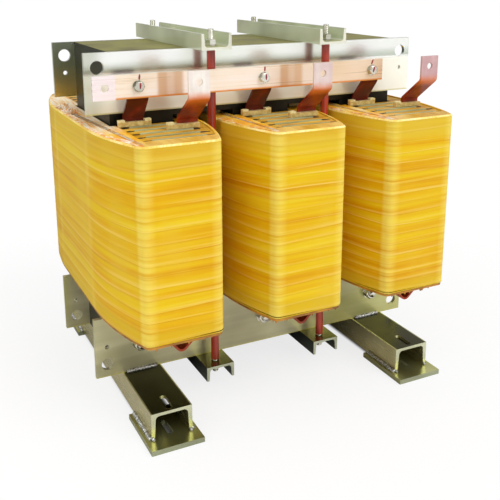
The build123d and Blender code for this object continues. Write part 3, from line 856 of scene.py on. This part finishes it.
def nuts(name, axis, hole):
    """Chamfered nuts in the places of a node's plain ones."""
    shape = Shape()
    for points in bodies(name):
        lowest, highest = span_of(points)
        centre, size = (lowest + highest) / 2, highest - lowest
        flats, height = (size.y, size.z) if axis == "z" else (size.z, size.y)
        rings = hex_rings(flats, -height / 2, height / 2, True, True, hole)
        shape.rings([placed(centre, axis, ring) for ring in rings], False, False)
    shape.fastener(f"chamfered_{name}", name, smooth=False)


THREAD_SIDES = 20
THREAD_ROWS = 5


def threaded_rings(radius, start, end, pitch):
    """Rings of a screw thread from start to end, with a small chamfer at the end."""
    count = max(2, round(abs(end - start) / pitch * THREAD_ROWS))
    rings = []
    for k in range(count + 1):
        along = start + (end - start) * k / count
        left = abs(end - along)
        chamfer = min(1.0, 0.78 + 0.22 * left / (0.6 * pitch))
        ring = []
        for i in range(THREAD_SIDES):
            turn = i / THREAD_SIDES
            groove = 0.5 + 0.5 * math.cos(math.tau * (along / pitch - turn))
            r = chamfer * (radius - 0.5 * pitch * groove)
            ring.append((r * math.cos(math.tau * turn), r * math.sin(math.tau * turn), along))
        rings.append(ring)
    return rings


def threaded_rods(name, axis, pitch, thread):
    """Rods with both ends threaded, in the places of a node's plain ones."""
    shape = Shape()
    for points in bodies(name):
        lowest, highest = span_of(points)
        centre, size = (lowest + highest) / 2, highest - lowest
        half = (size.z if axis == "z" else size.y) / 2
        radius = size.x / 2
        lower = threaded_rings(radius, -half + thread, -half, pitch)[::-1]
        upper = threaded_rings(radius, half - thread, half, pitch)
        shape.rings([placed(centre, axis, ring) for ring in lower + upper])
    shape.fastener(f"threaded_{name}", name)


nuts("m12_nuts", "z", 5.8 * MM)
nuts("m16_nuts", "y", 7.8 * MM)
nuts("bar_nuts", "y", 4.8 * MM)
threaded_rods("tie_rods", "z", 1.75 * MM, 48 * MM)
threaded_rods("yoke_studs", "y", 2.0 * MM, 34 * MM)


def bar_bolts():
    """The neutral bar's bolts: a chamfered head at the front and a threaded shank."""
    shape = Shape()
    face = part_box("bar_washers")[0].y
    for points in bodies("bar_bolts"):
        lowest, highest = span_of(points)
        centre = Vector(((lowest.x + highest.x) / 2, 0.0, (lowest.z + highest.z) / 2))
        flats = highest.z - lowest.z
        rings = hex_rings(flats, lowest.y, face, True, False)
        shape.rings([placed(centre, "y", ring) for ring in rings])
        shank = threaded_rings(5 * MM, face, highest.y, 1.5 * MM)
        shape.rings([placed(centre, "y", ring) for ring in shank])
    shape.fastener("chamfered_bar_bolts", "bar_bolts", smooth=False)


bar_bolts()


PRISM_FACES = 8
WELD_STEP = 0.9 * MM
WELD_END = 3 * MM
RIPPLE = 3.2 * MM
NEAR = 0.01 * MM


def weld_frame(points):
    """The axis that a triangular prism runs along, its square corner and the two legs from it."""
    along = next(i for i in range(3) if sum(abs(p[i] - points[0][i]) < NEAR for p in points) == 3)
    low = min(p[along] for p in points)
    section = [p for p in points if abs(p[along] - low) < NEAR]
    others = [i for i in range(3) if i != along]
    root = next(p for p in section if all(sum(abs(q[i] - p[i]) < NEAR for q in section) == 2 for i in others))
    return along, root, [q - root for q in section if q is not root]


def weld_runs():
    """Hand-laid weld beads: a bulging fillet with ripples, in the place of each plain one."""
    chance = random.Random(11)
    shape = Shape()
    mesh = nodes["weld_beads"].data
    for first in range(0, len(mesh.polygons), PRISM_FACES):
        run = mesh.polygons[first : first + PRISM_FACES]
        used = {v for polygon in run for v in polygon.vertices}
        corners = {tuple(round(c, 6) for c in mesh.vertices[v].co) for v in used}
        points = [Vector(corner) for corner in sorted(corners)]
        along, root, legs = weld_frame(points)
        lowest, highest = span_of(points)
        length = highest[along] - lowest[along]
        count = max(6, round(length / WELD_STEP))
        lean = chance.uniform(0, math.tau)
        rings = []
        for k in range(count + 1):
            reach = length * k / count
            ends = min(1.0, 0.55 + 0.45 * min(reach, length - reach) / WELD_END)
            ripple = 0.09 * abs(math.sin(math.pi * reach / RIPPLE + lean)) + 0.07 * chance.uniform(-1, 1)
            size = ends * (0.88 + ripple)
            ring = [Vector(root)]
            for step in range(7):
                turn = math.pi / 2 * step / 6
                bulge = size * (1 + 0.08 * math.sin(2 * turn) + 0.05 * chance.uniform(-1, 1))
                ring.append(root + bulge * (legs[0] * math.cos(turn) + legs[1] * math.sin(turn)))
            for p in ring:
                p[along] = lowest[along] + reach
            rings.append(ring)
        shape.rings(rings)
    shape.piece("rippled_weld_beads", LOOKS["weld_metal"], "weld_beads", slot="weld_metal")


weld_runs()


def tube(shape, path, radius, sides=5):
    """A thin round strand along a path, tapering to its ends."""
    rings = []
    for k, spot in enumerate(path):
        ahead = (path[min(k + 1, len(path) - 1)] - path[max(k - 1, 0)]).normalized()
        side = ahead.cross(Vector((0.31, 0.17, 0.93))).normalized()
        other = ahead.cross(side)
        thin = radius * (0.45 if k in (0, len(path) - 1) else 1.0)
        rings.append([spot + thin * (side * math.cos(t) + other * math.sin(t)) for t in around(sides)])
    shape.rings(rings)


def torque_marks():
    """A stroke of red paint from the bar across each bolt, put on when the bolt is tight."""
    paint = Look("torque_paint", roughness=0.4, coat=0.3)
    run = paint.noise((300, 300, 300), detail=2)
    paint.colour(paint.ramp(run, (0.3, (0.45, 0.03, 0.10)), (0.7, (0.66, 0.07, 0.14))))
    paint.bump(run, 0.3 * MM, 0.4)
    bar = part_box("neutral_bar")[0].y
    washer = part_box("bar_washers")[0].y
    shape = Shape()
    for index, points in enumerate(bodies("bar_bolts")):
        lowest, highest = span_of(points)
        x, z = (lowest.x + highest.x) / 2 + 1.6 * MM, (lowest.z + highest.z) / 2
        lean = (0.3, 0.15, 1.0)[index % 3] * MM
        head = lowest.y - 0.2 * MM
        left = x + 1.4 * MM
        on_bar = [Vector((left - k * lean, bar - 0.3 * MM, z + (21 - 2.4 * k) * MM)) for k in range(5)]
        on_washer = [Vector((x, washer - 0.2 * MM, z + (10.8 - 2 * k) * MM)) for k in range(2)]
        on_head = [Vector((x - k * lean, head, z + (7.5 - 2.8 * k) * MM)) for k in range(5)]
        for path in (on_bar, on_washer, on_head):
            tube(shape, path, 1.5 * MM, sides=8)
    shape.piece("torque_marks", paint.material)


torque_marks()


FINE_STEP = 4 * MM


def loose_threads(coil, seed, amount):
    """Glass threads that run loose along the rim of a coil's left shoulder."""
    chance = random.Random(seed)
    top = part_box(f"coil_wrap_{coil}")[1].z
    walked, _ = walk(plan_hull(nodes[f"coil_wrap_{coil}"]), FINE_STEP)
    left = [w for w in walked if w[2].x < -0.3 and w[1].y < 0.12]
    shape = Shape()
    for _ in range(amount):
        steps = chance.randint(4, 12)
        first = chance.randrange(len(left) - steps)
        inward, drift = chance.uniform(1.5, 11) * MM, chance.uniform(-0.5, 0.6) * MM
        arch = chance.uniform(0.2, 1.6) * MM
        path = []
        for k in range(steps):
            _, spot, outward = left[first + k]
            place = spot - outward * max(1.5 * MM, inward + drift * k)
            lift = arch * math.sin(math.pi * k / (steps - 1)) + 0.1 * MM
            path.append(Vector((place.x, place.y, top + lift)))
        tube(shape, path, chance.uniform(0.3, 0.75) * MM, sides=4)
    shape.piece(f"loose_threads_{coil}", THREAD)


def frayed_end():
    """The tuft of threads that stands up where the left coil's tape was cut, under the rear clamp."""
    chance = random.Random(5)
    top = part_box("coil_wrap_left")[1].z
    walked, _ = walk(plan_hull(nodes["coil_wrap_left"]), FINE_STEP)
    end = [w for w in walked if w[2].x < -0.8 and 0.02 < w[1].y < 0.115]
    shape = Shape()
    for _ in range(100):
        _, spot, outward = chance.choice(end)
        start = spot - outward * chance.uniform(3, 26) * MM
        lean = Vector((chance.uniform(-0.5, 0.5), chance.uniform(-0.7, 0.7)))
        height = chance.uniform(5, 13) * MM
        path = []
        for k in range(5):
            part = k / 4
            place = start + lean * height * part * part
            path.append(Vector((place.x, place.y, top - 1 * MM + height * part)))
        tube(shape, path, chance.uniform(0.5, 1.1) * MM, sides=5)
    shape.piece("frayed_end_left", THREAD)


for seed, (coil, amount) in enumerate(zip(COILS, (130, 45, 45)), 21):
    loose_threads(coil, seed, amount)
frayed_end()


MOUTH_PROFILE = ((0.7, -0.3), (0.35, 0.5), (0.0, 0.45), (-0.5, 0.15), (-3.0, 0.12))
MOUTH_HALF_WIDTH = 3.8


def duct_shade_discs():
    """Dark oval discs of painted shade where the cooling ducts run past the ends of their spacer boards,
    standing for their shaded open mouths.
    """
    shape = Shape()
    for coil in COILS:
        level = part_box(f"inner_winding_{coil}")[1].z
        for points in bodies(f"duct_boards_{coil}"):
            lowest, highest = span_of(points)
            middle = (lowest.y + highest.y) / 2
            for x, half in ((lowest.x - 9 * MM, 4.5 * MM), (highest.x + 6 * MM, 7.5 * MM)):
                rings = []
                for grown, height in MOUTH_PROFILE:
                    long, wide = half + grown * MM, (MOUTH_HALF_WIDTH + grown) * MM
                    rings.append(oval(x, middle, level + height * MM, long, wide, 24))
                shape.rings(rings)
    shape.piece("duct_shade_discs", DUCT_SHADE_LOOK)


duct_shade_discs()


DRIP_PROFILE = ((0, 1.5), (0.25, 1.0), (0.6, 0.8), (0.85, 0.6), (1.0, 0.2))


def varnish_drips():
    """Drops of amber varnish that set under the front edge of each coil."""
    chance = random.Random(3)
    shape = Shape()
    for coil in COILS:
        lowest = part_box(f"end_ring_{coil}")[0]
        walked, _ = walk(plan_hull(nodes[f"end_ring_{coil}"]), FINE_STEP)
        front = [w for w in walked if w[1].y < lowest.y + 20 * MM]
        for _, spot, outward in chance.sample(front, 7):
            place = spot - outward * 2.5 * MM
            drop, wide = chance.uniform(2.5, 6) * MM, chance.uniform(1.2, 2.4) * MM
            rings = []
            for part, size in DRIP_PROFILE:
                height = lowest.z + 0.5 * MM - drop * part
                rings.append(oval(place.x, place.y, height, size * wide, size * wide, 10))
            shape.rings(rings[::-1])
    shape.piece("varnish_drips", LOOKS["end_board"])


varnish_drips()


# ---- stage, light and camera ----------------------------------------------------------
def studio_floor():
    """Pale paper. The camera sees it lit evenly, with a painted shadow only where the feet cover it; what
    shines mirrors it with a grey far half."""
    reach = 40.0
    corners = [(-reach, -reach, 0), (reach, -reach, 0), (reach, reach, 0), (-reach, reach, 0)]
    floor = mesh_piece("studio_floor", corners, [(0, 1, 2, 3)], [], smooth=False)
    look = Look("studio_paper", roughness=0.9, specular=0.0)
    x, y, _ = look.axes()
    grain = look.noise((3, 3, 3), detail=1)
    paper = look.ramp(grain, (0.0, (0.95, 0.95, 0.95)), (1.0, (0.97, 0.97, 0.97)))
    look.colour(look.mix(look.span(y, 0.6, -0.6), (0.62, 0.61, 0.58), paper))
    look.bump(look.noise((60, 60, 60)), 0.3 * MM, 0.1)
    # Painted shadow: the camera sees the floor dark under the base plates and foot channels.
    foot_shadow, edge = 0.0, 12 * MM
    for name in nodes:
        if name.startswith(("base_plate", "foot_channel")):
            lowest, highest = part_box(name)
            middle, half = (lowest + highest) / 2, (highest - lowest) / 2
            across = look.span(look.size(look.minus(x, middle.x)), half.x, half.x - edge)
            along = look.span(look.size(look.minus(y, middle.y)), half.y, half.y - edge)
            foot_shadow = look.math("MAXIMUM", foot_shadow, look.times(across, along))
    path = look.node("LightPath")
    bright = look.node("Emission")
    look.put(bright.inputs["Color"], look.mix(foot_shadow, (0.99, 0.99, 0.99), (0.16, 0.16, 0.14)))
    lit = look.node("BsdfDiffuse")
    look.put(lit.inputs["Color"], (0.97, 0.97, 0.97))
    seen = look.node("MixShader")
    seen.inputs[0].default_value = 0.2
    look.put(seen.inputs[1], bright.outputs[0])
    look.put(seen.inputs[2], lit.outputs[0])
    chosen = look.node("MixShader")
    look.put(chosen.inputs[0], path.outputs["Is Camera Ray"])
    look.put(chosen.inputs[1], look.shader.outputs[0])
    look.put(chosen.inputs[2], seen.outputs[0])
    look.put(look.tree.nodes["Material Output"].inputs["Surface"], chosen.outputs[0])
    floor.data.materials.append(look.material)


def world():
    """A studio that is grey near the horizon and white overhead, and plain pale to the camera."""
    made = bpy.data.worlds.new("studio")
    made.use_nodes = True
    net = Net(made.node_tree)
    _, _, height = net.axes(net.place.outputs["Generated"])
    raised = net.plus(net.times(height, 0.5), 0.5)
    shade = net.ramp(raised, (0.55, (0.4366, 0.4366, 0.4100)), (0.82, (1.0, 1.0, 1.0)))
    seen = net.node("LightPath").outputs["Is Camera Ray"]
    net.put(net.tree.nodes["Background"].inputs["Color"], net.mix(seen, shade, (0.9822, 0.9822, 0.9822)))
    bpy.context.scene.world = made


def light(name, kind, energy, direction, place=(0, 0, 0)):
    data = bpy.data.lights.new(name, kind)
    data.energy = energy
    made = bpy.data.objects.new(name, data)
    made.location = place
    made.rotation_euler = Vector(direction).to_track_quat("-Z", "Y").to_euler()
    bpy.context.scene.collection.objects.link(made)
    return data


def camera():
    yaw, pitch, roll = 0.4535, -0.2481, -0.0049
    ahead = Vector((math.sin(yaw) * math.cos(pitch), math.cos(yaw) * math.cos(pitch), math.sin(pitch)))
    right = Vector((math.cos(yaw), -math.sin(yaw), 0))
    above = right.cross(ahead)
    across = right * math.cos(roll) + above * math.sin(roll)
    upward = above * math.cos(roll) - right * math.sin(roll)
    data = bpy.data.cameras.new("camera")
    data.sensor_width = 36.0
    data.lens = 54.21
    data.shift_x = 0.02
    data.shift_y = -0.17
    data.clip_start, data.clip_end = 0.05, 200.0
    made = bpy.data.objects.new("camera", data)
    turn = Matrix((across, upward, -ahead)).transposed()
    made.matrix_world = Matrix.Translation((-0.6924, -1.4429, 0.8295)) @ turn.to_4x4()
    bpy.context.scene.collection.objects.link(made)
    bpy.context.scene.camera = made


studio_floor()
world()
light("key", "SUN", 1.3, (-0.45, 0.75, -0.75)).angle = math.radians(40)
light("fill", "SUN", 0.5, (0.8, 0.35, -0.6)).angle = math.radians(60)
light("left_panel", "AREA", 4.0, (1.34, -0.15, -0.75), (-1.7, 0.15, 1.25)).size = 0.9
camera()
bpy.context.scene.view_settings.view_transform = "Standard"
